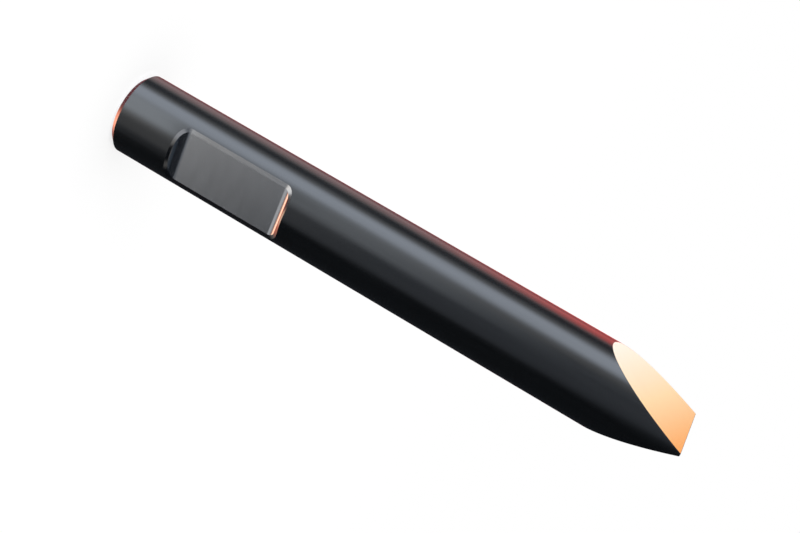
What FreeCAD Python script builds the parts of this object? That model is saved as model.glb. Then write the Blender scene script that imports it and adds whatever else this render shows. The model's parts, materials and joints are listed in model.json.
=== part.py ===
import FreeCAD, Part
import math
import os
import Sketcher

# Flat-wedge working tool of a hydraulic rock breaker.
# One forged steel bar: a turned shank, two milled retainer flats and a two-faced wedge tip.
# The bar stands on its striking face, and +Z runs along it towards the cutting edge.
# The wedge faces look towards -X and +X, and the retainer flats towards -Y and +Y.

os.makedirs("parts", exist_ok=True)
doc = FreeCAD.newDocument("breaker_chisel")

# Driving dimensions, in millimetres
DIMENSIONS = [
    ("bar_diameter", 150, "bar, as it runs in the bushes"),
    ("bar_length", 1100, "striking face to cutting edge"),
    ("rim_chamfer", 10, "45 degree break round the striking face"),
    ("wedge_length", 176, "cutting edge to where a wedge face runs out at the bar's surface"),
    ("edge_thickness", 5.5, "blunt land along the cutting edge"),
    ("wedge_rim_round", 1.5, "round along the rims of the wedge faces"),
    ("flat_start", 120.5, "striking face to the near wall of a retainer flat"),
    ("flat_length", 225, "near wall to far wall of a retainer flat"),
    ("flat_depth", 20, "bar's surface to the floor of a retainer flat"),
    ("cutter_radius", 17.5, "run-out that the cutter leaves at both ends of a retainer flat"),
    ("flat_rim_chamfer", 4, "break along the mouth of a retainer flat"),
    ("overrun", 20, "how far the cutting profiles reach clear of the bar"),
]
sheet = doc.addObject("Spreadsheet::Sheet", "dims")
for row, (alias, value, note) in enumerate(DIMENSIONS, start=1):
    sheet.set(f"A{row}", str(value))
    sheet.setAlias(f"A{row}", alias)
    sheet.set(f"B{row}", note)
doc.recompute()

FULL_TURN = 360
FLATS_AND_FACES = 2
SURFACE_TOLERANCE = 0.01
SAMPLES_PER_EDGE = 9


# Helpers for sketches
def origin_item(body, role):
    return next(item for item in body.Origin.OriginFeatures if item.Role == role)


def add_sketch(body, name, role):
    sketch = body.newObject("Sketcher::SketchObject", name)
    sketch.AttachmentSupport = (origin_item(body, role), "")
    sketch.MapMode = "FlatFace"
    return sketch


def add_outline(sketch, corners):
    """A closed chain of lines through the corners. Line 0 starts at the first corner."""
    points = [FreeCAD.Vector(across, along, 0) for across, along in corners]
    count = len(points)
    for number in range(count):
        sketch.addGeometry(Part.LineSegment(points[number], points[(number + 1) % count]), False)
    for number in range(count):
        sketch.addConstraint(
            Sketcher.Constraint("Coincident", number, 2, (number + 1) % count, 1))


def set_distance(sketch, kind, geometry, end, name, expression):
    """Hold an end of a piece of geometry at a signed distance from the sketch's origin."""
    position = sketch.getPoint(geometry, end)
    now = position.x if kind == "DistanceX" else position.y
    index = sketch.addConstraint(Sketcher.Constraint(kind, -1, 1, geometry, end, now))
    sketch.renameConstraint(index, name)
    sketch.setExpression(f"Constraints.{name}", expression)


# Turned blank: the profile from the axis outwards, spun about Z
body = doc.addObject("PartDesign::Body", "chisel")
body.Label = "chisel"
radius = sheet.bar_diameter / 2

blank_profile = add_sketch(body, "blank_profile", "XZ_Plane")
add_outline(blank_profile, [
    (0, 0),
    (radius - sheet.rim_chamfer, 0),
    (radius, sheet.rim_chamfer),
    (radius, sheet.bar_length),
    (0, sheet.bar_length),
])
blank_profile.addConstraint(Sketcher.Constraint("Coincident", 0, 1, -1, 1))
blank_profile.addConstraint(Sketcher.Constraint("Horizontal", 0))
blank_profile.addConstraint(Sketcher.Constraint("Vertical", 2))
blank_profile.addConstraint(Sketcher.Constraint("Horizontal", 3))
blank_profile.addConstraint(Sketcher.Constraint("Vertical", 4))
set_distance(blank_profile, "DistanceX", 0, 2, "face_radius",
             "dims.bar_diameter / 2 - dims.rim_chamfer")
set_distance(blank_profile, "DistanceX", 1, 2, "bar_radius", "dims.bar_diameter / 2")
set_distance(blank_profile, "DistanceY", 1, 2, "rim_height", "dims.rim_chamfer")
set_distance(blank_profile, "DistanceY", 2, 2, "bar_end", "dims.bar_length")

blank = body.newObject("PartDesign::Revolution", "turned_blank")
blank.Profile = blank_profile
blank.ReferenceAxis = (blank_profile, ["V_Axis"])
blank.Angle = FULL_TURN
doc.recompute()

# Wedge face: everything outside one sloping plane is cut away, across the whole bar
wedge_profile = add_sketch(body, "wedge_profile", "XZ_Plane")
land = sheet.edge_thickness / 2
tip = sheet.bar_length
fall = sheet.wedge_length / (radius - land)
outside = radius + sheet.overrun
add_outline(wedge_profile, [
    (land, tip),
    (outside, tip - (outside - land) * fall),
    (outside, tip + sheet.overrun),
    (land, tip + sheet.overrun),
])
run_out = wedge_profile.addGeometry(
    Part.Point(FreeCAD.Vector(radius, tip - sheet.wedge_length, 0)), True)
wedge_profile.addConstraint(Sketcher.Constraint("Vertical", 1))
wedge_profile.addConstraint(Sketcher.Constraint("Horizontal", 2))
wedge_profile.addConstraint(Sketcher.Constraint("Vertical", 3))
wedge_profile.addConstraint(Sketcher.Constraint("PointOnObject", run_out, 1, 0))
set_distance(wedge_profile, "DistanceX", 0, 1, "land_edge", "dims.edge_thickness / 2")
set_distance(wedge_profile, "DistanceY", 0, 1, "cutting_edge", "dims.bar_length")
set_distance(wedge_profile, "DistanceX", run_out, 1, "run_out_radius", "dims.bar_diameter / 2")
set_distance(wedge_profile, "DistanceY", run_out, 1, "run_out_height",
             "dims.bar_length - dims.wedge_length")
set_distance(wedge_profile, "DistanceX", 1, 2, "clear_side",
             "dims.bar_diameter / 2 + dims.overrun")
set_distance(wedge_profile, "DistanceY", 2, 1, "clear_top", "dims.bar_length + dims.overrun")


def add_cross_cut(name, profile):
    """A pocket that runs right across the bar, the same way on both sides of its sketch."""
    cut = body.newObject("PartDesign::Pocket", name)
    cut.Profile = profile
    cut.SideType = "Symmetric"
    cut.Type = "Length"
    cut.setExpression("Length", "dims.bar_diameter + 2 * dims.overrun")
    doc.recompute()
    return cut


wedge_cut = add_cross_cut("wedge_face", wedge_profile)

# Retainer flat: a floor between two quarter-round run-outs, open to the bar's surface
flat_profile = add_sketch(body, "flat_profile", "YZ_Plane")
floor = radius - sheet.flat_depth
near_wall = sheet.flat_start
far_wall = sheet.flat_start + sheet.flat_length
curl = sheet.cutter_radius


def add_run_out(centre_along, first_angle):
    """A quarter circle of the cutter's radius that starts at first_angle degrees."""
    centre = FreeCAD.Vector(floor + curl, centre_along, 0)
    circle = Part.Circle(centre, FreeCAD.Vector(0, 0, 1), curl)
    start = math.radians(first_angle)
    return flat_profile.addGeometry(Part.ArcOfCircle(circle, start, start + math.pi / 2), False)


def add_flat_line(start, end):
    first = FreeCAD.Vector(start[0], start[1], 0)
    second = FreeCAD.Vector(end[0], end[1], 0)
    return flat_profile.addGeometry(Part.LineSegment(first, second), False)


floor_line = add_flat_line((floor, far_wall - curl), (floor, near_wall + curl))
near_arc = add_run_out(near_wall + curl, 180)
near_line = add_flat_line((floor + curl, near_wall), (outside, near_wall))
mouth_line = add_flat_line((outside, near_wall), (outside, far_wall))
far_line = add_flat_line((outside, far_wall), (floor + curl, far_wall))
far_arc = add_run_out(far_wall - curl, 90)
for kind, first, first_end, second, second_end in [
    ("Tangent", floor_line, 2, near_arc, 1),
    ("Tangent", near_arc, 2, near_line, 1),
    ("Coincident", near_line, 2, mouth_line, 1),
    ("Coincident", mouth_line, 2, far_line, 1),
    ("Tangent", far_line, 2, far_arc, 1),
    ("Tangent", far_arc, 2, floor_line, 1),
]:
    flat_profile.addConstraint(
        Sketcher.Constraint(kind, first, first_end, second, second_end))
for kind, line in [
    ("Vertical", floor_line),
    ("Horizontal", near_line),
    ("Vertical", mouth_line),
    ("Horizontal", far_line),
]:
    flat_profile.addConstraint(Sketcher.Constraint(kind, line))
flat_profile.addConstraint(Sketcher.Constraint("Equal", near_arc, far_arc))
arc_size = flat_profile.addConstraint(Sketcher.Constraint("Radius", near_arc, curl))
flat_profile.renameConstraint(arc_size, "run_out_radius")
flat_profile.setExpression("Constraints.run_out_radius", "dims.cutter_radius")
set_distance(flat_profile, "DistanceX", floor_line, 1, "floor_radius",
             "dims.bar_diameter / 2 - dims.flat_depth")
set_distance(flat_profile, "DistanceY", near_line, 1, "near_wall", "dims.flat_start")
set_distance(flat_profile, "DistanceY", far_line, 1, "far_wall",
             "dims.flat_start + dims.flat_length")
set_distance(flat_profile, "DistanceX", mouth_line, 1, "clear_side",
             "dims.bar_diameter / 2 + dims.overrun")

flat_cut = add_cross_cut("retainer_flat", flat_profile)

# The second wedge face and the second flat lie half a turn from the first
pattern = body.newObject("PartDesign::PolarPattern", "opposite_cuts")
pattern.Originals = [wedge_cut, flat_cut]
pattern.Axis = (origin_item(body, "Z_Axis"), [""])
pattern.Angle = FULL_TURN
pattern.Occurrences = FLATS_AND_FACES
body.Tip = pattern
doc.recompute()


# Chamfers along the mouths of the flats and rounds along the rims of the wedge faces
def on_surface(point):
    return abs(math.hypot(point.x, point.y) - radius) < SURFACE_TOLERANCE


def is_flat_rim(edge):
    points = edge.discretize(Number=SAMPLES_PER_EDGE)
    return all(on_surface(point) and near_wall - curl < point.z < far_wall + curl
               for point in points)


def is_wedge_rim(edge):
    points = edge.discretize(Number=SAMPLES_PER_EDGE)
    return all(point.z > tip - sheet.wedge_length - SURFACE_TOLERANCE for point in points)


def dress_edges(kind, name, base, test, size, expression):
    """Chamfer or round every edge of the base feature that passes the test."""
    names = [f"Edge{number}" for number, edge in enumerate(base.Shape.Edges, start=1)
             if test(edge)]
    dressing = body.newObject(kind, name)
    dressing.Base = (base, names)
    dressing.setExpression(size, expression)
    body.Tip = dressing
    doc.recompute()
    return dressing


flat_rims = dress_edges("PartDesign::Chamfer", "flat_rims", pattern, is_flat_rim,
                        "Size", "dims.flat_rim_chamfer")
wedge_rims = dress_edges("PartDesign::Fillet", "wedge_rims", flat_rims, is_wedge_rim,
                         "Radius", "dims.wedge_rim_round")

# Every cut, chamfer and round has to take something off the bar
history = [blank, wedge_cut, flat_cut, pattern, flat_rims, wedge_rims]
for before, after in zip(history, history[1:]):
    if not after.Shape.Volume < before.Shape.Volume:
        raise RuntimeError(f"{after.Label} removes nothing")

for item in doc.Objects:
    if "Invalid" in item.State or "Error" in item.State:
        raise RuntimeError(f"{item.Label} did not compute")
if body.Shape.isNull() or not body.Shape.isValid() or len(body.Shape.Solids) != 1:
    raise RuntimeError("the bar is not one valid solid")

body.Shape.exportStep(os.path.join("parts", f"{body.Label}.step"))
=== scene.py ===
import json
import math

import bmesh
import bpy
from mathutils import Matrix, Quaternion, Vector


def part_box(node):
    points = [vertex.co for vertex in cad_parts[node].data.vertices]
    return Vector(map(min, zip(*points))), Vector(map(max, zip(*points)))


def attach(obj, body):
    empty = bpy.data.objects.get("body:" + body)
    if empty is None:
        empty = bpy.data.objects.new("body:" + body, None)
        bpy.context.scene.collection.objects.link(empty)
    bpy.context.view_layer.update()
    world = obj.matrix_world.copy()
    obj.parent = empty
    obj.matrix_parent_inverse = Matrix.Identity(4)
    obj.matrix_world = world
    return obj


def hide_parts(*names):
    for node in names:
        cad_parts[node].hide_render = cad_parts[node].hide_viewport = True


bl_info = {
    "name": "Breaker chisel",
    "version": (1, 0, 0),
    "blender": (4, 5, 0),
    "location": "View3D > Sidebar > Chisel",
    "description": "Makes the flat-wedge chisel of a hydraulic rock breaker and the studio it stands in",
    "category": "Object",
}

# The bar stands on its striking face, and +Z runs along it towards the cutting edge.
# The wedge faces look towards -X and +X, and the retainer flats towards -Y and +Y.
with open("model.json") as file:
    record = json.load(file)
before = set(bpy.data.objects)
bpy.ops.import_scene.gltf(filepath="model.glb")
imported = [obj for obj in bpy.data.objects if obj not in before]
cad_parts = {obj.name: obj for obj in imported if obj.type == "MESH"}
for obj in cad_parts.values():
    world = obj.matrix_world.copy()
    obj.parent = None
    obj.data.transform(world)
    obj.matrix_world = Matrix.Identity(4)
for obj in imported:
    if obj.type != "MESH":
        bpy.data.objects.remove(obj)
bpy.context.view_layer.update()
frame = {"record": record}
bar_low, bar_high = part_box("chisel")
mounts = {mount["name"]: mount for mount in frame["record"]["mounts"]}
flat_floor = Vector(mounts["retainer_flat_front"]["pos_m"])

MM = 0.001
CLOSE = 0.05 * MM
SIDES = (-1, 1)
FLAT_START = 120.5 * MM


def linear(hex_colour):
    """An sRGB hex colour as linear red, green and blue."""
    channels = [int(hex_colour[start:start + 2], 16) / 255 for start in (0, 2, 4)]
    return [c / 12.92 if c <= 0.04045 else ((c + 0.055) / 1.055) ** 2.4 for c in channels]


# Sizes and colours that a user would change
def size_property(name, description, default):
    return bpy.props.FloatProperty(
        name=name, description=description, default=default, min=0, precision=4,
        subtype="DISTANCE", unit="LENGTH")


def colour_property(name, description, hex_colour):
    return bpy.props.FloatVectorProperty(
        name=name, description=description, default=linear(hex_colour), min=0, max=1,
        size=3, subtype="COLOR")


class ChiselSizes(bpy.types.PropertyGroup):
    bar_diameter: size_property(
        "Bar diameter", "The bar as it runs in the bushes", bar_high.x - bar_low.x)
    bar_length: size_property(
        "Bar length", "Striking face to cutting edge", bar_high.z - bar_low.z)
    rim_chamfer: size_property(
        "Rim chamfer", "45 degree chamfer round the striking face", 10 * MM)
    edge_break: size_property(
        "Edge break", "Round that takes the burr off both edges of the rim chamfer", 0.5 * MM)
    wedge_length: size_property(
        "Wedge length", "Cutting edge to where a wedge face runs out", 176 * MM)
    edge_thickness: size_property(
        "Edge thickness", "Blunt land along the cutting edge", 5.5 * MM)
    wedge_rim_round: size_property(
        "Wedge rim round", "Round along the rims of the wedge faces", 1.5 * MM)
    flat_start: size_property(
        "Flat start", "Striking face to the near wall of a retainer flat", FLAT_START)
    flat_length: size_property(
        "Flat length", "Near wall to far wall of a retainer flat",
        2 * (flat_floor.z - FLAT_START))
    flat_depth: size_property(
        "Flat depth", "Bar's surface to the floor of a retainer flat", bar_high.x - abs(flat_floor.y))
    cutter_radius: size_property(
        "Cutter radius", "Run-out at both ends of a retainer flat", 17.5 * MM)
    flat_rim_chamfer: size_property(
        "Flat rim chamfer", "Chamfer along the mouth of a retainer flat", 4 * MM)


class ChiselColours(bpy.types.PropertyGroup):
    lacquer: colour_property("Lacquer", "Black coat on the turned surface", "07090B")
    milled_steel: colour_property("Milled steel", "Floors and walls of the retainer flats", "C0BFBD")
    # Darker than the milled steel, which paints shade into the chamfers
    filed_chamfer_painted_shade: colour_property("Filed chamfer with painted shade", "Chamfers round the retainer flats", "7A7978")
    turned_steel: colour_property("Turned steel", "Striking face and its chamfer", "C0BFBD")
    # The three wedge face colours paint a warm reflection into the steel, from cream through gold to
    # orange
    painted_cream_reflection: colour_property("Painted cream reflection", "Ground wedge face where it runs out", "FFFFEF")
    painted_gold_reflection: colour_property("Painted gold reflection", "Ground wedge face half way up", "FFDEAA")
    painted_orange_reflection: colour_property("Painted orange reflection", "Ground wedge face at the cutting edge", "FF991A")
    floor: colour_property("Floor", "Studio floor", "FFFFFF")


# Modelling helpers
def select_only(piece):
    bpy.ops.object.select_all(action="DESELECT")
    piece.select_set(True)
    bpy.context.view_layer.objects.active = piece


def apply_place(piece):
    """Put a piece's place, turn and size into its mesh, so that its object stays at the origin."""
    select_only(piece)
    bpy.ops.object.transform_apply(location=True, rotation=True, scale=True)


def edit_edges(piece, wanted):
    """Enter edit mode with only those edges selected whose two ends pass the test."""
    select_only(piece)
    bpy.ops.object.mode_set(mode="EDIT")
    bpy.ops.mesh.select_mode(type="EDGE")
    bpy.ops.mesh.select_all(action="DESELECT")
    bpy.ops.object.mode_set(mode="OBJECT")
    for edge in piece.data.edges:
        edge.select = wanted(*(piece.data.vertices[end].co for end in edge.vertices))
    bpy.ops.object.mode_set(mode="EDIT")


def apply_modifier(piece, kind, **settings):
    modifier = piece.modifiers.new(kind.lower(), kind)
    for name, value in settings.items():
        setattr(modifier, name, value)
    select_only(piece)
    bpy.ops.object.modifier_apply(modifier=modifier.name)


def cut_away(bar, cutter):
    """Take the cutter's shape out of the bar. The cut faces get the cutter's material."""
    apply_modifier(bar, "BOOLEAN", operation="DIFFERENCE", solver="EXACT",
                   material_mode="TRANSFER", object=cutter)
    bpy.data.objects.remove(cutter)


# The bar, step by step as it is machined
FACETS = 256
RUN_OUT_STEPS = 24
WALL_STEPS = 6
ROUND_STEPS = 6
CLEAR = 20 * MM
CHAMFER_OVERLAP = 0.6
SMOOTH_ANGLE = math.radians(18)
LEAST_EDGE_ANGLE = math.radians(10)


def turn_blank(sizes, lacquer):
    """A round bar stood on end, with the rim of its striking face chamfered."""
    bpy.ops.object.select_all(action="DESELECT")
    bpy.ops.mesh.primitive_cylinder_add(
        vertices=FACETS, radius=sizes.bar_diameter / 2, depth=sizes.bar_length,
        location=(0, 0, sizes.bar_length / 2), rotation=(0, 0, math.pi / FACETS))
    bar = bpy.context.object
    bar.name = "chisel_bar"
    bar.data.materials.append(lacquer)
    apply_place(bar)
    edit_edges(bar, lambda start, end: max(start.z, end.z) < CLOSE)
    bpy.ops.mesh.bevel(offset=sizes.rim_chamfer, segments=1, affect="EDGES")
    bpy.ops.object.mode_set(mode="OBJECT")
    return bar


def wedge_normal(sizes, side):
    run = sizes.bar_diameter / 2 - sizes.edge_thickness / 2
    return Vector((side * sizes.wedge_length, 0, run)).normalized()


def grind_wedge_face(bar, sizes, side):
    """One sloping plane from the land of the cutting edge down to the bar's surface."""
    select_only(bar)
    bpy.ops.object.mode_set(mode="EDIT")
    bpy.ops.mesh.select_all(action="SELECT")
    bpy.ops.mesh.bisect(
        plane_co=(side * sizes.edge_thickness / 2, 0, sizes.bar_length),
        plane_no=wedge_normal(sizes, side), use_fill=True, clear_outer=True)
    bpy.ops.mesh.select_all(action="SELECT")
    bpy.ops.mesh.remove_doubles(threshold=CLOSE)
    bpy.ops.object.mode_set(mode="OBJECT")


def mill_retainer_flat(bar, sizes, side, steel):
    """A pocket straight across the bar, with a quarter-round run-out at both ends of its floor."""
    floor = sizes.bar_diameter / 2 - sizes.flat_depth
    reach = sizes.flat_depth + CLEAR
    bpy.ops.object.select_all(action="DESELECT")
    bpy.ops.mesh.primitive_cube_add(
        size=1,
        location=(0, side * (floor + reach / 2), sizes.flat_start + sizes.flat_length / 2),
        scale=(sizes.bar_diameter + 2 * CLEAR, reach, sizes.flat_length))
    cutter = bpy.context.object
    cutter.data.materials.append(steel)
    apply_place(cutter)

    def across_floor(start, end):
        on_floor = max(start.y * side, end.y * side) < floor + CLOSE
        return on_floor and abs(start.z - end.z) < CLOSE

    edit_edges(cutter, across_floor)
    bpy.ops.mesh.bevel(offset=sizes.cutter_radius, segments=RUN_OUT_STEPS, affect="EDGES")
    bpy.ops.object.mode_set(mode="OBJECT")
    cut_away(bar, cutter)


class FlatSurface:
    """The walls, run-outs and floor of a retainer flat, unrolled.

    A place on it is a distance across the bar and a distance along the flat's profile, which
    starts where the near wall meets the bar's surface at its middle.
    """

    def __init__(self, sizes, side):
        self.side = side
        self.radius = sizes.bar_diameter / 2
        self.curl = sizes.cutter_radius
        self.floor = self.radius - sizes.flat_depth
        self.start = sizes.flat_start
        self.middle = sizes.flat_start + sizes.flat_length / 2
        self.wall = sizes.flat_depth - sizes.cutter_radius
        self.arc = self.curl * math.pi / 2
        self.half = self.wall + self.arc + sizes.flat_length / 2 - self.curl

    def point(self, across, along):
        if along > self.half:
            mirrored = self.point(across, 2 * self.half - along)
            return Vector((mirrored.x, mirrored.y, 2 * self.middle - mirrored.z))
        if along < self.wall:
            depth, height = along, 0
        elif along < self.wall + self.arc:
            turn = (along - self.wall) / self.curl
            depth = self.wall + self.curl * math.sin(turn)
            height = self.curl * (1 - math.cos(turn))
        else:
            depth = self.wall + self.curl
            height = self.curl + along - self.wall - self.arc
        return Vector((across, self.side * (self.radius - depth), self.start + height))

    def rim(self):
        """Where the bar's surface cuts this one, once round, as places on it."""
        widest = math.sqrt(self.radius ** 2 - (self.radius - self.wall) ** 2)
        quarter = []
        for step in range(WALL_STEPS):
            across = widest * step / WALL_STEPS
            quarter.append((across, self.radius - math.sqrt(self.radius ** 2 - across ** 2)))
        for step in range(RUN_OUT_STEPS + 1):
            along = self.wall + self.arc * step / RUN_OUT_STEPS
            depth = self.radius - abs(self.point(0, along).y)
            quarter.append((math.sqrt(self.radius ** 2 - (self.radius - depth) ** 2), along))
        near_to_far = quarter + [(across, 2 * self.half - along)
                                 for across, along in reversed(quarter)]
        far_to_near = [(-across, along) for across, along in reversed(near_to_far[1:-1])]
        return near_to_far + far_to_near


def offset_loop(loop, distance):
    """Move each place of a closed flat loop sideways, to the right of the way it runs."""
    moved = []
    for number, place in enumerate(loop):
        before = Vector(loop[number - 1])
        after = Vector(loop[(number + 1) % len(loop)])
        way = (after - before).normalized()
        moved.append(Vector(place) + distance * Vector((way.y, -way.x)))
    return moved


def chamfer_flat_rim(bar, sizes, side, steel):
    """A chamfer along the mouth of a flat.

    It is as wide on the bar's surface as on the flat's, so both of its edges are worked out on
    the unrolled surfaces. The cutter is a closed ring whose one side lies along the chamfer.
    """
    surface = FlatSurface(sizes, side)
    radius = surface.radius
    rim = surface.rim()
    rim_on_bar = []
    for across, along in rim:
        point = surface.point(across, along)
        rim_on_bar.append((radius * math.asin(point.x / radius), point.z))
    inner = [surface.point(*place) for place in offset_loop(rim, -sizes.flat_rim_chamfer)]
    outer = [Vector((radius * math.sin(arc / radius), side * radius * math.cos(arc / radius), z))
             for arc, z in offset_loop(rim_on_bar, sizes.flat_rim_chamfer)]
    low_ring = [a + (a - b) * CHAMFER_OVERLAP for a, b in zip(inner, outer)]
    high_ring = [b + (b - a) * CHAMFER_OVERLAP for a, b in zip(inner, outer)]
    clear = side * (radius + CLEAR)
    rings = [
        low_ring,
        high_ring,
        [Vector((point.x, clear, point.z)) for point in high_ring],
        [Vector((point.x, clear, point.z)) for point in low_ring],
    ]
    count = len(rim)
    faces = []
    for ring in range(len(rings)):
        after = (ring + 1) % len(rings)
        for number in range(count):
            beside = (number + 1) % count
            faces.append((ring * count + number, ring * count + beside,
                          after * count + beside, after * count + number))
    mesh = bpy.data.meshes.new("flat_rim_cutter")
    mesh.from_pydata([point for ring in rings for point in ring], [], faces)
    cutter = bpy.data.objects.new("flat_rim_cutter", mesh)
    bpy.context.scene.collection.objects.link(cutter)
    cutter.data.materials.append(steel)
    select_only(cutter)
    bpy.ops.object.mode_set(mode="EDIT")
    bpy.ops.mesh.select_all(action="SELECT")
    bpy.ops.mesh.normals_make_consistent(inside=False)
    bpy.ops.object.mode_set(mode="OBJECT")
    cut_away(bar, cutter)


def round_rims(bar, sizes):
    """Round the rims of the wedge faces and both edges of the rim chamfer.

    A round of one radius takes less off a shallow edge than off a square one, so each edge
    gets its own width as a share of the widest.
    """
    wedge_start = sizes.bar_length - sizes.wedge_length - CLOSE
    chamfer_end = sizes.rim_chamfer + CLOSE
    shape = bmesh.new()
    shape.from_mesh(bar.data)
    weight = shape.edges.layers.float.new("bevel_weight_edge")
    for edge in shape.edges:
        heights = [vertex.co.z for vertex in edge.verts]
        angle = edge.calc_face_angle()
        if angle < LEAST_EDGE_ANGLE:
            continue
        if min(heights) > wedge_start:
            edge[weight] = min(math.tan(angle / 2), 1)
        elif max(heights) < chamfer_end:
            edge[weight] = math.tan(angle / 2) * sizes.edge_break / sizes.wedge_rim_round
    shape.to_mesh(bar.data)
    shape.free()
    apply_modifier(bar, "BEVEL", width=sizes.wedge_rim_round, segments=ROUND_STEPS,
                   limit_method="WEIGHT", use_clamp_overlap=False)


def paint_faces(bar, sizes, turned_steel, wedge_steel_painted_reflection):
    """Give the striking face, its chamfer and the ground faces of the wedge their own steels."""
    bar.data.materials.append(turned_steel)
    bar.data.materials.append(wedge_steel_painted_reflection)
    turned_slot = bar.data.materials.find(turned_steel.name)
    ground_slot = bar.data.materials.find(wedge_steel_painted_reflection.name)
    flat_enough = math.cos(LEAST_EDGE_ANGLE)
    ground_ways = [wedge_normal(sizes, side) for side in SIDES] + [Vector((0, 0, 1))]
    for face in bar.data.polygons:
        if face.center.z < sizes.rim_chamfer and face.normal.z < -math.sin(LEAST_EDGE_ANGLE):
            face.material_index = turned_slot
        in_wedge = face.center.z > sizes.bar_length - sizes.wedge_length
        if in_wedge and any(face.normal.dot(way) > flat_enough for way in ground_ways):
            face.material_index = ground_slot


def shade(bar):
    """Smooth shading over the rounds, with the large faces kept flat."""
    select_only(bar)
    bpy.ops.object.shade_smooth_by_angle(angle=SMOOTH_ANGLE)
    apply_modifier(bar, "WEIGHTED_NORMAL", keep_sharp=True, weight=100)


# Materials
# One wave of a wave texture at scale 1, in metres
WAVE = math.pi / 10
# A noise seldom leaves these values, so they are the ends of what is made from it
NOISE_ENDS = {"From Min": 0.3, "From Max": 0.7}


def add_node(tree, kind, settings=None, inputs=None):
    """Add a node with its settings. An input is a value, or an output that is linked to it."""
    node = tree.nodes.new(kind)
    for name, value in (settings or {}).items():
        setattr(node, name, value)
    for socket, value in (inputs or {}).items():
        if isinstance(value, bpy.types.NodeSocket):
            tree.links.new(value, node.inputs[socket])
        else:
            node.inputs[socket].default_value = value
    return node


def new_material(name):
    material = bpy.data.materials.new(name)
    material.use_nodes = True
    material.node_tree.nodes.clear()
    return material, material.node_tree


def opaque(colour):
    return (*colour, 1)


def object_place(tree, stretch=(1, 1, 1)):
    """Object coordinates, with a scale of its own for each direction."""
    coordinates = add_node(tree, "ShaderNodeTexCoord")
    return add_node(tree, "ShaderNodeMapping", {"vector_type": "POINT"}, {
        "Vector": coordinates.outputs["Object"],
        "Scale": stretch,
    }).outputs["Vector"]


def finish_surface(tree, values):
    surface = add_node(tree, "ShaderNodeBsdfPrincipled", {}, values)
    add_node(tree, "ShaderNodeOutputMaterial", {}, {"Surface": surface.outputs["BSDF"]})


# Stoved black lacquer on a turned bar: sprayed and baked, so it is semi-gloss.
# The eye sees soft-edged reflections that run the whole length, broken a little by lengthwise
# streaks of the spray and by a fine orange peel.
STREAK_WIDTH = 7 * MM
STREAK_LENGTH = 160 * MM
PEEL_SIZE = 2.2 * MM
PEEL_HEIGHT = 0.004 * MM


def black_lacquer(colours):
    material, tree = new_material("stoved_black_lacquer")
    streaks = add_node(tree, "ShaderNodeTexNoise", {}, {
        "Vector": object_place(tree, (1 / STREAK_WIDTH, 1 / STREAK_WIDTH, 1 / STREAK_LENGTH)),
        "Scale": 1,
        "Detail": 3,
        "Roughness": 0.6,
    })
    peel = add_node(tree, "ShaderNodeTexNoise", {}, {
        "Vector": object_place(tree),
        "Scale": 1 / PEEL_SIZE,
        "Detail": 2,
    })
    roughness = add_node(tree, "ShaderNodeMapRange", {}, {
        "Value": streaks.outputs["Fac"],
        **NOISE_ENDS,
        "To Min": 0.19,
        "To Max": 0.25,
    })
    tone = add_node(tree, "ShaderNodeMapRange", {}, {
        "Value": streaks.outputs["Fac"],
        **NOISE_ENDS,
        "To Min": 0.85,
        "To Max": 1.15,
    })
    colour = add_node(tree, "ShaderNodeVectorMath", {"operation": "SCALE"}, {
        0: colours.lacquer,
        "Scale": tone.outputs["Result"],
    })
    bump = add_node(tree, "ShaderNodeBump", {}, {
        "Height": peel.outputs["Fac"],
        "Strength": 1,
        "Distance": PEEL_HEIGHT,
    })
    finish_surface(tree, {
        "Base Color": colour.outputs["Vector"],
        "Roughness": roughness.outputs["Result"],
        "IOR": 1.5,
        "Normal": bump.outputs["Normal"],
    })
    return material


# Milled steel, left bare: a slab cutter has run along the bar, with its axis across it.
# The eye sees an even satin grey with faint feed marks across the flat, a little cloudy where
# the cutter has dulled and cleared.
FEED_MARK = 1.6 * MM
FEED_MARK_HEIGHT = 0.003 * MM
CLOUD_WIDTH = 60 * MM
CLOUD_LENGTH = 15 * MM


def milled_steel(colours):
    material, tree = new_material("milled_bare_steel")
    marks = add_node(tree, "ShaderNodeTexWave", {
        "wave_type": "BANDS",
        "bands_direction": "Z",
        "wave_profile": "SIN",
    }, {
        "Vector": object_place(tree),
        "Scale": WAVE / FEED_MARK,
        "Distortion": 1.5,
        "Detail": 2,
        "Detail Scale": 0.4,
    })
    clouds = add_node(tree, "ShaderNodeTexNoise", {}, {
        "Vector": object_place(tree, (1 / CLOUD_WIDTH, 1 / CLOUD_WIDTH, 1 / CLOUD_LENGTH)),
        "Scale": 1,
        "Detail": 4,
    })
    roughness = add_node(tree, "ShaderNodeMapRange", {}, {
        "Value": clouds.outputs["Fac"],
        **NOISE_ENDS,
        "To Min": 0.16,
        "To Max": 0.19,
    })
    bump = add_node(tree, "ShaderNodeBump", {}, {
        "Height": marks.outputs["Fac"],
        "Strength": 1,
        "Distance": FEED_MARK_HEIGHT,
    })
    finish_surface(tree, {
        "Base Color": opaque(colours.milled_steel),
        "Metallic": 1,
        "Roughness": roughness.outputs["Result"],
        "Normal": bump.outputs["Normal"],
    })
    return material


# Filed steel: the mouth of each flat is chamfered by hand, along its edge, leaving fine
# scratches along it. Its grey is painted shade: darker than the milled steel, so that the chamfer
# reads as a darker band between the flat and the coat. Real scratches are about 0.3 mm wide, and
# they are drawn coarser so that the render shows them.
FILE_SCRATCH = 1.5 * MM
FILE_SCRATCH_LENGTH = 20 * MM
FILE_SCRATCH_HEIGHT = 0.004 * MM


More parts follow.
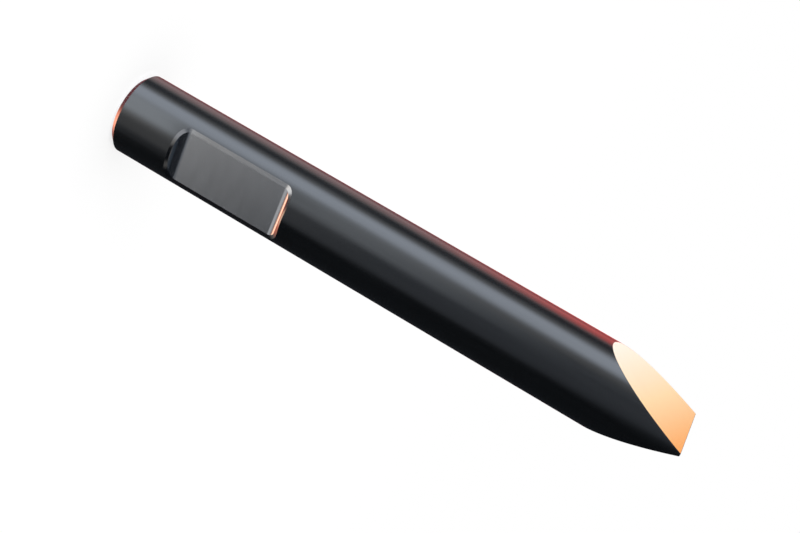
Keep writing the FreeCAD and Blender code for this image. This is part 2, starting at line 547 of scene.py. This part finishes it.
def filed_chamfer_painted_shade(colours):
    material, tree = new_material("filed_chamfer_steel_painted_shade")
    scratches = add_node(tree, "ShaderNodeTexNoise", {}, {
        "Vector": object_place(
            tree, (1 / FILE_SCRATCH, 1 / FILE_SCRATCH, 1 / FILE_SCRATCH_LENGTH)),
        "Scale": 1,
        "Detail": 3,
    })
    roughness = add_node(tree, "ShaderNodeMapRange", {}, {
        "Value": scratches.outputs["Fac"],
        **NOISE_ENDS,
        "To Min": 0.14,
        "To Max": 0.22,
    })
    bump = add_node(tree, "ShaderNodeBump", {}, {
        "Height": scratches.outputs["Fac"],
        "Strength": 1,
        "Distance": FILE_SCRATCH_HEIGHT,
    })
    finish_surface(tree, {
        # The darker grey is painted shade on the chamfer
        "Base Color": opaque(colours.filed_chamfer_painted_shade),
        "Metallic": 1,
        "Roughness": roughness.outputs["Result"],
        "Normal": bump.outputs["Normal"],
    })
    return material


# Turned steel, left bare: the striking face and its chamfer come straight off the lathe.
# The eye sees a bright metal with fine rings about the bar's axis. The real pitch is about
# 0.3 mm, and it is drawn coarser so that the render shows it.
TURNING_PITCH = 0.9 * MM
TURNING_HEIGHT = 0.004 * MM


def turned_steel(colours):
    material, tree = new_material("turned_bare_steel")
    rings = add_node(tree, "ShaderNodeTexWave", {
        "wave_type": "RINGS",
        "rings_direction": "Z",
        "wave_profile": "SIN",
    }, {
        "Vector": object_place(tree),
        "Scale": WAVE / TURNING_PITCH,
    })
    bump = add_node(tree, "ShaderNodeBump", {}, {
        "Height": rings.outputs["Fac"],
        "Strength": 1,
        "Distance": TURNING_HEIGHT,
    })
    finish_surface(tree, {
        "Base Color": opaque(colours.turned_steel),
        "Metallic": 1,
        "Roughness": 0.25,
        "Normal": bump.outputs["Normal"],
    })
    return material


# Ground steel with a warm reflection painted into its colour: cream where the face runs out,
# deepening through gold to orange at the cutting edge, and a little warmer towards -Y. The eye
# sees a bright satin face with faint marks across it. Real grinding marks are finer than 0.1 mm,
# and they are drawn coarser so that the render shows them.
GRIND_MARK = 1.2 * MM
GRIND_MARK_HEIGHT = 0.002 * MM
REFLECTION_AT_EDGE = 0.83
REFLECTION_SLANT = 0.11
GOLD_REFLECTION_POINT = 0.5


def wedge_steel_painted_reflection(colours, sizes):
    material, tree = new_material("ground_face_painted_warm_reflection")
    place = add_node(tree, "ShaderNodeSeparateXYZ", {}, {"Vector": object_place(tree)})
    rise = add_node(tree, "ShaderNodeMapRange", {"clamp": False}, {
        "Value": place.outputs["Z"],
        "From Min": sizes.bar_length - sizes.wedge_length,
        "From Max": sizes.bar_length,
        "To Min": 0,
        "To Max": REFLECTION_AT_EDGE,
    })
    slant = add_node(tree, "ShaderNodeMapRange", {"clamp": False}, {
        "Value": place.outputs["Y"],
        "From Min": 0,
        "From Max": -sizes.bar_diameter / 2,
        "To Min": 0,
        "To Max": REFLECTION_SLANT,
    })
    painted_warmth = add_node(tree, "ShaderNodeMath", {"operation": "ADD"}, {
        0: rise.outputs["Result"],
        1: slant.outputs["Result"],
    })
    # This ramp paints the warm reflection: cream where the face runs out, orange at the cutting edge
    tint = add_node(tree, "ShaderNodeValToRGB", {}, {"Fac": painted_warmth.outputs["Value"]})
    reflection_stops = tint.color_ramp.elements
    reflection_stops[0].color = opaque(colours.painted_cream_reflection)
    reflection_stops[1].color = opaque(colours.painted_orange_reflection)
    reflection_stops.new(GOLD_REFLECTION_POINT).color = opaque(colours.painted_gold_reflection)
    marks = add_node(tree, "ShaderNodeTexWave", {
        "wave_type": "BANDS",
        "bands_direction": "Z",
    }, {
        "Vector": object_place(tree),
        "Scale": WAVE / GRIND_MARK,
        "Distortion": 2,
        "Detail": 2,
    })
    bump = add_node(tree, "ShaderNodeBump", {}, {
        "Height": marks.outputs["Fac"],
        "Strength": 1,
        "Distance": GRIND_MARK_HEIGHT,
    })
    finish_surface(tree, {
        "Base Color": tint.outputs["Color"],
        "Metallic": 1,
        "Roughness": 0.26,
        "Normal": bump.outputs["Normal"],
    })
    return material


# Studio: a white room whose panels show only as reflections. Angles are in degrees, azimuth
# from +X towards +Y and height above the horizon. A panel covers those before it in the list.
PANELS = [
    # name, azimuth, half width, soft edge, height, half height, soft edge, colour, strength
    ("dim ceiling", 0, 200, 1, 70, 25, 10, "FFFFFF", 0.6),
    ("dark floor", 0, 200, 1, -80, 18, 8, "FFE8EC", 0.25),
    ("shaded low wall", -14, 56, 7, -52, 22, 6, "FFFFFF", 0.35),
    ("high side wall", 178, 34, 10, 44, 20, 8, "FFFFFF", 0.7),
    ("grey wall", -98, 38, 6, 2, 30, 8, "E4EEFF", 0.56),
    ("high grey wall", -112, 22, 8, 32, 20, 10, "EEF4FF", 1.4),
    ("low grey wall", -98, 38, 6, -40, 22, 7, "FFFFFF", 0.95),
    ("bright low wall", -108, 10, 6, -42, 17, 4, "FFFFFF", 3.6),
    ("maroon floor", 82, 44, 8, -62, 32, 6, "FF90A0", 0.18),
    ("side softbox", -173, 18, 9, -10, 27, 8, "E6F0FF", 6.3),
    ("front softbox", -136, 23, 10, -14, 6, 6, "EEF6FF", 3),
    ("black flag", 0, 65, 7, 0, 34, 6, "E0ECFF", 0.04),
    ("high flag", -5, 70, 8, 45, 43, 7, "C8DCFF", 0.025),
    ("high dull wall", 30, 37, 8, 42, 26, 8, "C8E0FF", 0.08),
    ("high end wall", -2, 20, 7, 38, 7, 5, "FFFFFF", 0.5),
    ("near dull reflector", 112, 15, 6, -12, 19, 6, "FFDCDE", 1.35),
    ("far upper wall", 74, 16, 6, 30, 18, 6, "FFFFFF", 0.3),
    ("far dull reflector", 78, 22, 6, -12, 19, 6, "FF6474", 0.6),
    ("near red reflector", 114, 14, 6, 3, 8, 6, "FF7674", 3.1),
    ("far red reflector", 78, 22, 6, 3, 8, 6, "FF4C4C", 1.55),
    ("grey strip", 90, 4, 3, -20, 22, 4, "FFFFFF", 0.32),
    ("narrow flag", 145, 11, 6, 0, 50, 8, "E0ECFF", 0.25),
    ("low wall", -57, 12, 6, -40, 16, 6, "F2F6FF", 0.68),
    ("orange lamp", 18, 33, 6, -58, 13, 6, "FF9070", 1.9),
    ("cream lamp", 18, 20, 6, -62, 9, 5, "FFD4B8", 2.5),
]
WHITE = (1, 1, 1, 1)


def window(tree, value, half, soft):
    """1 where a value is within half of zero, falling softly to 0 outside it."""
    size = add_node(tree, "ShaderNodeMath", {"operation": "ABSOLUTE"}, {0: value})
    return add_node(tree, "ShaderNodeMapRange", {"interpolation_type": "SMOOTHSTEP"}, {
        "Value": size.outputs["Value"],
        "From Min": half + soft,
        "From Max": half - soft,
    }).outputs["Result"]


def studio_world():
    """White at strength 1 to the eye and as light. Only reflections see the panels."""
    world = bpy.data.worlds.new("white_studio")
    world.use_nodes = True
    world.cycles.sampling_method = "NONE"
    tree = world.node_tree
    tree.nodes.clear()
    coordinates = add_node(tree, "ShaderNodeTexCoord")
    way = add_node(tree, "ShaderNodeSeparateXYZ", {}, {"Vector": coordinates.outputs["Generated"]})
    azimuth = add_node(tree, "ShaderNodeMath", {"operation": "ARCTAN2"}, {
        0: way.outputs["Y"],
        1: way.outputs["X"],
    })
    height = add_node(tree, "ShaderNodeMath", {"operation": "ARCSINE"}, {0: way.outputs["Z"]})
    room = add_node(tree, "ShaderNodeRGB")
    room.outputs["Color"].default_value = WHITE
    colour = room.outputs["Color"]
    for name, *angles, hex_colour, strength in PANELS:
        centre, half, soft, middle, rise, soft_rise = map(math.radians, angles)
        aside = add_node(tree, "ShaderNodeMath", {"operation": "SUBTRACT"}, {
            0: azimuth.outputs["Value"],
            1: centre,
        })
        wrapped = add_node(tree, "ShaderNodeMath", {"operation": "WRAP"}, {
            0: aside.outputs["Value"],
            1: math.pi,
            2: -math.pi,
        })
        above = add_node(tree, "ShaderNodeMath", {"operation": "SUBTRACT"}, {
            0: height.outputs["Value"],
            1: middle,
        })
        cover = add_node(tree, "ShaderNodeMath", {"operation": "MULTIPLY"}, {
            0: window(tree, wrapped.outputs["Value"], half, soft),
            1: window(tree, above.outputs["Value"], rise, soft_rise),
        })
        radiance = [channel * strength for channel in linear(hex_colour)]
        panel = add_node(tree, "ShaderNodeMix", {"data_type": "RGBA", "label": name}, {
            "Factor": cover.outputs["Value"],
            "A": colour,
            "B": opaque(radiance),
        })
        colour = panel.outputs["Result"]
    reflected = add_node(tree, "ShaderNodeBackground", {}, {"Color": colour, "Strength": 1})
    backdrop = add_node(tree, "ShaderNodeBackground", {}, {"Color": WHITE, "Strength": 1})
    rays = add_node(tree, "ShaderNodeLightPath")
    mirrored = add_node(tree, "ShaderNodeMath", {"operation": "SUBTRACT", "use_clamp": True}, {
        0: rays.outputs["Is Glossy Ray"],
        1: rays.outputs["Is Transmission Ray"],
    })
    shown = add_node(tree, "ShaderNodeMixShader", {}, {
        0: mirrored.outputs["Value"],
        1: backdrop.outputs["Background"],
        2: reflected.outputs["Background"],
    })
    add_node(tree, "ShaderNodeOutputWorld", {}, {"Surface": shown.outputs["Shader"]})
    bpy.context.scene.world = world


# Share of the floor that glows white to the camera, the rest being lit and shadowed
FLOOR_GLOW = 0.7
FLOOR_SIZE = 30


def lay_floor(colours):
    """A plain pale floor. It shows as white as the backdrop, apart from the bar's shadow."""
    bpy.ops.object.select_all(action="DESELECT")
    bpy.ops.mesh.primitive_plane_add(size=FLOOR_SIZE)
    floor = bpy.context.object
    floor.name = "studio_floor"
    floor.visible_glossy = False
    material, tree = new_material("matt_studio_floor")
    matt = add_node(tree, "ShaderNodeBsdfDiffuse", {}, {"Color": opaque(colours.floor)})
    glow = add_node(tree, "ShaderNodeEmission", {}, {"Color": WHITE, "Strength": 1})
    rays = add_node(tree, "ShaderNodeLightPath")
    share = add_node(tree, "ShaderNodeMath", {"operation": "MULTIPLY"}, {
        0: rays.outputs["Is Camera Ray"],
        1: FLOOR_GLOW,
    })
    shown = add_node(tree, "ShaderNodeMixShader", {}, {
        0: share.outputs["Value"],
        1: matt.outputs["BSDF"],
        2: glow.outputs["Emission"],
    })
    add_node(tree, "ShaderNodeOutputMaterial", {}, {"Surface": shown.outputs["Shader"]})
    floor.data.materials.append(material)


# The card glows over a sector, so that the round bar mirrors its sides as straight lengthwise
# lines. The sector's tip lies inside the bar, and the glow fades between two distances from it.
CARD_COLOUR = "EEF6FF"
CARD_GLOW = 5
CARD_AZIMUTH = math.radians(-135)
CARD_TIP = (-17 * MM, -33 * MM, 0)
CARD_HALF = math.radians(22)
CARD_SIDE_SOFT = math.radians(10)
CARD_FULL = 270 * MM
CARD_END = 400 * MM
# The card's near edge, measured from the bar's axis, and its height over the floor
CARD_START = 85 * MM
CARD_LIFT = 1 * MM


def lay_foot_card():
    """A glowing card on the floor in front of the bar's foot, with soft edges.

    Only reflections show it. It gives the foot its broad highlight, and it lies so near that
    the front flat mirrors little of it when the bar is seen from the side.
    """
    bpy.ops.object.select_all(action="DESELECT")
    middle = (CARD_START + CARD_END) / 2
    bpy.ops.mesh.primitive_plane_add(
        size=1, rotation=(0, 0, CARD_AZIMUTH),
        location=(middle * math.cos(CARD_AZIMUTH), middle * math.sin(CARD_AZIMUTH), CARD_LIFT))
    card = bpy.context.object
    card.name = "foot_card"
    card.scale = (CARD_END - CARD_START, 2 * CARD_END * math.tan(CARD_HALF + CARD_SIDE_SOFT), 1)
    apply_place(card)
    for ray in ("camera", "diffuse", "transmission", "shadow"):
        setattr(card, "visible_" + ray, False)
    material, tree = new_material("glowing_card")
    coordinates = add_node(tree, "ShaderNodeTexCoord")
    turned = add_node(tree, "ShaderNodeMapping", {"vector_type": "TEXTURE"}, {
        "Vector": coordinates.outputs["Object"],
        "Location": CARD_TIP,
        "Rotation": (0, 0, CARD_AZIMUTH),
    })
    place = add_node(tree, "ShaderNodeSeparateXYZ", {}, {"Vector": turned.outputs["Vector"]})
    along = add_node(tree, "ShaderNodeMapRange", {"interpolation_type": "SMOOTHSTEP"}, {
        "Value": place.outputs["X"],
        "From Min": CARD_END,
        "From Max": CARD_FULL,
    })
    aside = add_node(tree, "ShaderNodeMath", {"operation": "ARCTAN2"}, {
        0: place.outputs["Y"],
        1: place.outputs["X"],
    })
    cover = add_node(tree, "ShaderNodeMath", {"operation": "MULTIPLY"}, {
        0: along.outputs["Result"],
        1: window(tree, aside.outputs["Value"], CARD_HALF, CARD_SIDE_SOFT),
    })
    clear = add_node(tree, "ShaderNodeBsdfTransparent")
    glow = add_node(tree, "ShaderNodeEmission", {}, {
        "Color": opaque(linear(CARD_COLOUR)),
        "Strength": CARD_GLOW,
    })
    shown = add_node(tree, "ShaderNodeMixShader", {}, {
        0: cover.outputs["Value"],
        1: clear.outputs["BSDF"],
        2: glow.outputs["Emission"],
    })
    add_node(tree, "ShaderNodeOutputMaterial", {}, {"Surface": shown.outputs["Shader"]})
    material.cycles.emission_sampling = "NONE"
    card.data.materials.append(material)


KEY_PLACE = (-2.2, -1.6, 3.2)
KEY_AIM = (0, 0, 0.5)
KEY_SIZE = 2.5
KEY_POWER = 30


def hang_key_lamp():
    """A large soft lamp high up on the camera's side. It lights the matt surfaces only."""
    lamp = bpy.data.lights.new("key_softbox", "AREA")
    lamp.size = KEY_SIZE
    lamp.energy = KEY_POWER
    key = bpy.data.objects.new("key_softbox", lamp)
    bpy.context.scene.collection.objects.link(key)
    key.location = KEY_PLACE
    aim = Vector(KEY_AIM) - key.location
    key.rotation_euler = aim.to_track_quat("-Z", "Y").to_euler()
    key.visible_glossy = False
    key.visible_camera = False


# Fitted to the outline in the photograph, so these aren't round
CAMERA_AZIMUTH = -117.495
CAMERA_HEIGHT = 9.850
CAMERA_DISTANCE = 2147.04 * MM
CAMERA_AIM = (0.21 * MM, -0.11 * MM, 551.61 * MM)
CAMERA_ROLL = 120.311
CAMERA_LENS = 56.996
SENSOR_WIDTH = 36


def place_camera():
    """The photograph's angle: from the left of the front flat, rolled so that the bar slopes."""
    lens = bpy.data.cameras.new("photo_camera")
    lens.lens = CAMERA_LENS
    lens.sensor_width = SENSOR_WIDTH
    lens.clip_start = 0.05
    lens.clip_end = 100
    camera = bpy.data.objects.new("photo_camera", lens)
    bpy.context.scene.collection.objects.link(camera)
    azimuth = math.radians(CAMERA_AZIMUTH)
    height = math.radians(CAMERA_HEIGHT)
    back = Vector((math.cos(azimuth) * math.cos(height), math.sin(azimuth) * math.cos(height),
                   math.sin(height)))
    upright = (-back).to_track_quat("-Z", "Y")
    roll = Quaternion((0, 0, 1), math.radians(CAMERA_ROLL))
    camera.location = Vector(CAMERA_AIM) + CAMERA_DISTANCE * back
    camera.rotation_mode = "QUATERNION"
    camera.rotation_quaternion = upright @ roll
    bpy.context.scene.camera = camera


# Operators and panel
class BREAKERCHISEL_OT_make_bar(bpy.types.Operator):
    """Turn, grind and mill the bar, round its rims and give each surface its finish"""
    bl_idname = "breaker_chisel.make_bar"
    bl_label = "Make the bar"

    def execute(self, context):
        sizes = context.scene.breaker_chisel_sizes
        colours = context.scene.breaker_chisel_colours
        milled = milled_steel(colours)
        filed = filed_chamfer_painted_shade(colours)
        bar = turn_blank(sizes, black_lacquer(colours))
        for side in SIDES:
            grind_wedge_face(bar, sizes, side)
        for side in SIDES:
            mill_retainer_flat(bar, sizes, side, milled)
            chamfer_flat_rim(bar, sizes, side, filed)
        round_rims(bar, sizes)
        paint_faces(bar, sizes, turned_steel(colours), wedge_steel_painted_reflection(colours, sizes))
        shade(bar)
        if not bar.data.polygons:
            raise RuntimeError("the bar has no faces left")
        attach(bar, "root")
        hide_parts("chisel")
        # The flats mirror the studio alone, not each other's walls, as they do in the photograph
        bar.visible_glossy = False
        return {"FINISHED"}


class BREAKERCHISEL_OT_set_stage(bpy.types.Operator):
    """Lay the floor, hang the lamp, build the white studio and place the camera"""
    bl_idname = "breaker_chisel.set_stage"
    bl_label = "Set the stage"

    def execute(self, context):
        lay_floor(context.scene.breaker_chisel_colours)
        lay_foot_card()
        hang_key_lamp()
        studio_world()
        place_camera()
        context.scene.view_settings.view_transform = "Standard"
        if context.scene.camera is None:
            raise RuntimeError("the stage has no camera")
        return {"FINISHED"}


class BREAKERCHISEL_PT_sidebar(bpy.types.Panel):
    bl_idname = "BREAKERCHISEL_PT_sidebar"
    bl_label = "Breaker chisel"
    bl_space_type = "VIEW_3D"
    bl_region_type = "UI"
    bl_category = "Chisel"

    def draw(self, context):
        for group in (context.scene.breaker_chisel_sizes, context.scene.breaker_chisel_colours):
            column = self.layout.column(align=True)
            for name in group.__annotations__:
                column.prop(group, name)
        self.layout.operator(BREAKERCHISEL_OT_make_bar.bl_idname)
        self.layout.operator(BREAKERCHISEL_OT_set_stage.bl_idname)


CLASSES = (
    ChiselSizes,
    ChiselColours,
    BREAKERCHISEL_OT_make_bar,
    BREAKERCHISEL_OT_set_stage,
    BREAKERCHISEL_PT_sidebar,
)


def register():
    for new_class in CLASSES:
        bpy.utils.register_class(new_class)
    bpy.types.Scene.breaker_chisel_sizes = bpy.props.PointerProperty(type=ChiselSizes)
    bpy.types.Scene.breaker_chisel_colours = bpy.props.PointerProperty(type=ChiselColours)


def unregister():
    del bpy.types.Scene.breaker_chisel_colours
    del bpy.types.Scene.breaker_chisel_sizes
    for old_class in reversed(CLASSES):
        bpy.utils.unregister_class(old_class)


def main():
    register()
    bpy.ops.breaker_chisel.make_bar()
    bpy.ops.breaker_chisel.set_stage()


if __name__ == "__main__":
    main()
